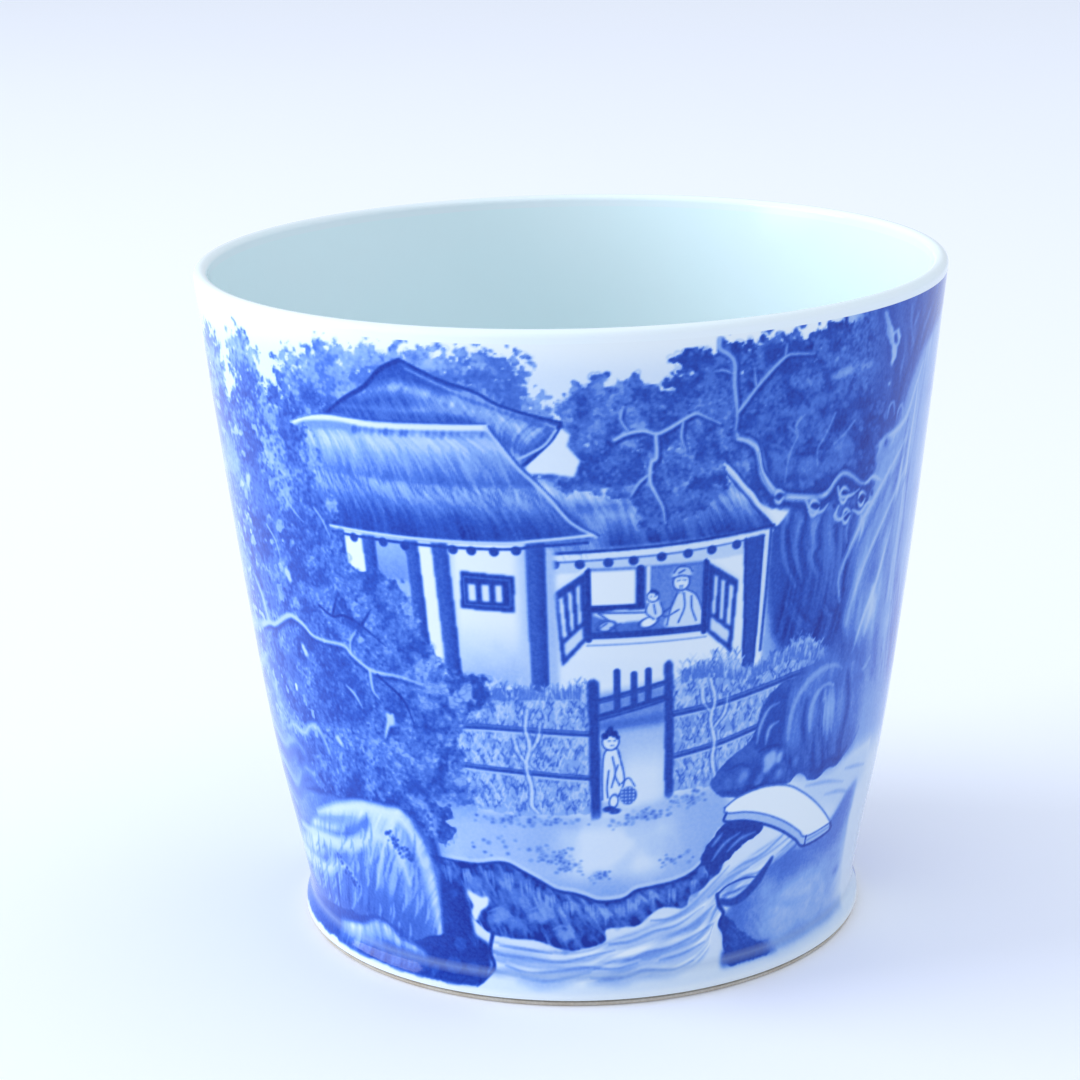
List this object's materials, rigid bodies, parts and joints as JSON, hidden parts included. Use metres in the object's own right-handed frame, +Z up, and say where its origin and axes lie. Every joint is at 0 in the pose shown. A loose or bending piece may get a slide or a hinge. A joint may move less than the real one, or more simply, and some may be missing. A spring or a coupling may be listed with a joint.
{
  "type": "teacup",
  "caption": "Free-standing blue-and-white porcelain teacup: flaring straight-sided bowl, thin rounded lip, low groove and bare foot ring, painted with a landscape.",
  "frame": {"origin": "centre of the foot ring, on the surface that the cup stands on", "axes": "+Z up along the cup's axis of revolution; -Y is the front of the painting"},
  "size_m": [0.085, 0.085, 0.0777],
  "materials": {
    "biscuit_porcelain": "bare fired porcelain, matt",
    "painted_glaze": "clear gloss glaze over cobalt painting",
    "lip_glaze": "white gloss glaze",
    "inner_glaze": "pale blue-green gloss glaze",
    "base_glaze": "clear gloss glaze"
  },
  "bodies": {
    "root": {"porcelain_body": "biscuit_porcelain", "outer_glaze": "painted_glaze", "lip_glaze": "lip_glaze", "inner_glaze": "inner_glaze", "base_glaze": "base_glaze"}
  },
  "joints": []
}
